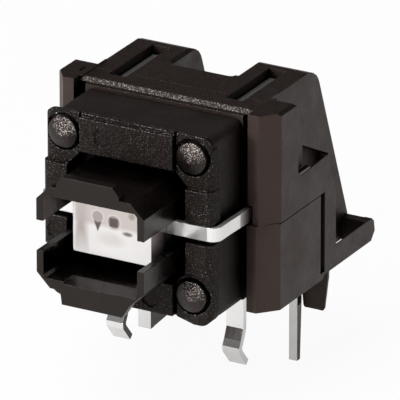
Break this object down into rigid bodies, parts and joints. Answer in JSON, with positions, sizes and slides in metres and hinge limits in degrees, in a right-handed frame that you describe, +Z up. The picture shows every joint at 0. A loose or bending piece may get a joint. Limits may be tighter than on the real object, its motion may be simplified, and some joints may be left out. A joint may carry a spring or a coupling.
{
  "type": "tactile push button switch",
  "caption": "Right-angle board-mounted push button switch: black square body with a sliding jawed plunger round a clear lamp block, bent metal terminals and a sloped support bracket.",
  "frame": {"origin": "on the board's face, midway between the two lower switch terminals", "axes": "+X to the right seen from the button, +Y to the back, the way the button is pressed, +Z up from the board"},
  "size_m": [0.0144, 0.0206, 0.0179],
  "materials": {
    "cover_plastic": "grained black",
    "base_plastic": "satin black",
    "plunger_plastic": "satin black",
    "bracket_plastic": "satin brownish black",
    "lamp_resin": "clear cast resin",
    "lamp_lead_metal": "bright silver plated",
    "contact_metal": "bright silver plated",
    "lamp_die": "polished chip",
    "gold_wire": "drawn gold",
    "spring_steel": "rolled spring steel"
  },
  "bodies": {
    "switch": {"front_cover": "cover_plastic", "switch_base": "base_plastic", "lamp_block": "lamp_resin", "lamp_cup_lead": "lamp_lead_metal", "lamp_post_lead": "lamp_lead_metal", "lamp_die": "lamp_die", "bond_wire": "gold_wire", "bracket": "bracket_plastic", "contact_frame_left": "contact_metal", "contact_frame_right": "contact_metal", "snap_dome": "spring_steel", "return_spring": "spring_steel"},
    "plunger": {"plunger": "plunger_plastic"}
  },
  "joints": [
    {"name": "plunger_press", "type": "slide", "parent": "switch", "child": "plunger", "axis": [0, 1, 0], "range_m": [0, 0.0008], "stiffness_N_per_m": 1000, "springref_m": -0.001, "deforming": ["return_spring"]}
  ]
}
